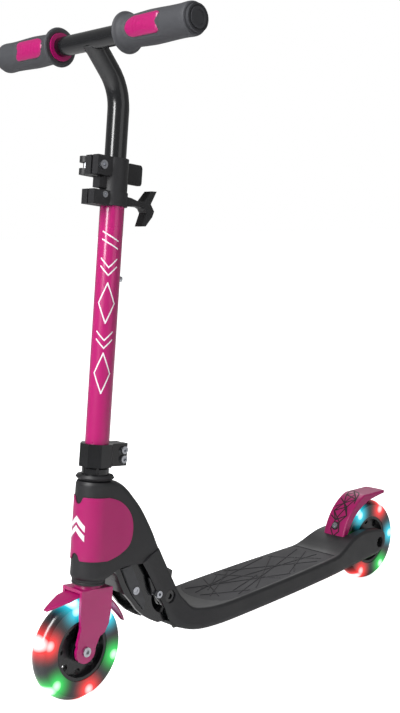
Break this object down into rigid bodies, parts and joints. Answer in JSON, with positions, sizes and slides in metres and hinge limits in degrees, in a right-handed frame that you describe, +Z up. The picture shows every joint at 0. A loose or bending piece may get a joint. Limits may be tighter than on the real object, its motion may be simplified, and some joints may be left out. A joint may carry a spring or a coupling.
{
  "type": "kick scooter",
  "caption": "Children's folding kick scooter with a low deck, a folding neck, a telescopic T-bar, a foot brake over the rear wheel and light-up wheels.",
  "frame": {"origin": "on the ground under the middle of the wheelbase, in the middle of the width", "axes": "+X forward, +Y to the rider's left, +Z up"},
  "size_m": [0.68, 0.34, 0.7778],
  "materials": {
    "pu_tyre": "smoky translucent polyurethane",
    "wheel_core": "moulded",
    "bearing_steel": "ground",
    "light": "clear moulded",
    "magenta_paint": "gloss powder coat",
    "magenta_plastic": "satin moulded",
    "zinc_steel": "zinc plated",
    "black_paint": "gloss powder coat",
    "black_plastic": "textured moulded",
    "grey_plastic": "moulded",
    "grip_rubber": "matte",
    "tread_rubber": "matte, raised lines",
    "white_print": "printed film",
    "magnet": "sintered"
  },
  "bodies": {
    "deck": {"deck_shell": "black_plastic", "deck_tread": "tread_rubber", "deck_frame": "black_paint", "hinge_plates": "black_paint", "pivot_bolt": "black_paint", "pivot_nut": "black_paint", "latch_bolt": "zinc_steel", "latch_spring": "zinc_steel", "deck_screws": "zinc_steel", "rear_axle_bolt": "zinc_steel", "rear_axle_nut": "zinc_steel", "rear_axle_spacers": "zinc_steel", "rear_magnet_sleeve": "magnet", "brake_pin": "zinc_steel"},
    "brake": {"rear_brake_mudguard": "magenta_plastic", "brake_bracket": "black_paint", "brake_pad": "grip_rubber", "brake_screw": "zinc_steel"},
    "latch": {"fold_latch": "black_plastic"},
    "neck": {"head_tube": "black_paint", "headset_bearings": "bearing_steel", "neck_cover": "black_plastic", "neck_panel": "magenta_plastic", "front_mark": "white_print", "neck_bracket": "black_paint", "neck_side_plates": "grey_plastic", "lock_bar_bolt": "zinc_steel"},
    "steering": {"fork": "magenta_paint", "front_mudguard": "magenta_plastic", "front_axle_bolt": "zinc_steel", "front_axle_nut": "zinc_steel", "front_axle_spacers": "zinc_steel", "front_magnet_sleeve": "magnet", "lower_seal": "black_plastic", "headset_cone": "black_plastic", "headset_lock_nut": "black_paint", "lower_clamp": "black_paint", "lower_clamp_bolts": "zinc_steel", "stem_tube": "magenta_paint", "top_clamp": "black_plastic", "top_clamp_bolt": "zinc_steel", "hook_bracket": "black_plastic", "hook_bolt": "zinc_steel"},
    "lever": {"clamp_lever": "black_plastic"},
    "handlebar": {"t_bar": "black_paint", "left_grip": "grip_rubber", "right_grip": "grip_rubber", "grip_inserts": "magenta_plastic", "grip_rings": "magenta_plastic", "bar_end_caps": "black_plastic"},
    "button": {"height_button": "zinc_steel"},
    "front_wheel": {"front_tyre": "pu_tyre", "front_wheel_core": "wheel_core", "front_wheel_bearings": "bearing_steel", "front_wheel_lights": "light"},
    "rear_wheel": {"rear_tyre": "pu_tyre", "rear_wheel_core": "wheel_core", "rear_wheel_bearings": "bearing_steel", "rear_wheel_lights": "light"}
  },
  "joints": [
    {"name": "stem_fold", "type": "hinge", "parent": "deck", "child": "neck", "pos_m": [0.154, 0, 0.094], "axis": [0, -1, 0], "range_deg": [0, 86]},
    {"name": "steering_turn", "type": "hinge", "parent": "neck", "child": "steering", "pos_m": [0.2686, 0, 0.0585], "axis": [-0.1305, 0, 0.9914], "range_deg": [-60, 60]},
    {"name": "front_wheel_spin", "type": "hinge", "parent": "steering", "child": "front_wheel", "pos_m": [0.28, 0, 0.06], "axis": [0, 1, 0], "continuous": true},
    {"name": "rear_wheel_spin", "type": "hinge", "parent": "deck", "child": "rear_wheel", "pos_m": [-0.28, 0, 0.06], "axis": [0, 1, 0], "continuous": true},
    {"name": "rear_brake", "type": "hinge", "parent": "deck", "child": "brake", "pos_m": [-0.202, 0, 0.062], "axis": [0, -1, 0], "range_deg": [0, 2.8], "stiffness_Nm_per_rad": 20, "springref_deg": -1.15},
    {"name": "bar_height", "type": "slide", "parent": "steering", "child": "handlebar", "axis": [-0.1305, 0, 0.9914], "range_m": [-0.045, 0.045]},
    {"name": "height_button_press", "type": "slide", "parent": "handlebar", "child": "button", "axis": [-0.8586, 0.5, -0.113], "range_m": [-0.005, 0], "stiffness_N_per_m": 400, "springref_m": 0.002},
    {"name": "clamp_lever_turn", "type": "hinge", "parent": "steering", "child": "lever", "pos_m": [0.22225, -0.0195, 0.61743], "axis": [-0.1305, 0, 0.9914], "range_deg": [0, 120]},
    {"name": "fold_latch_lift", "type": "hinge", "parent": "deck", "child": "latch", "pos_m": [0.171, 0, 0.101], "axis": [0, -1, 0], "range_deg": [0, 14], "stiffness_Nm_per_rad": 0.3, "springref_deg": -17.19}
  ]
}
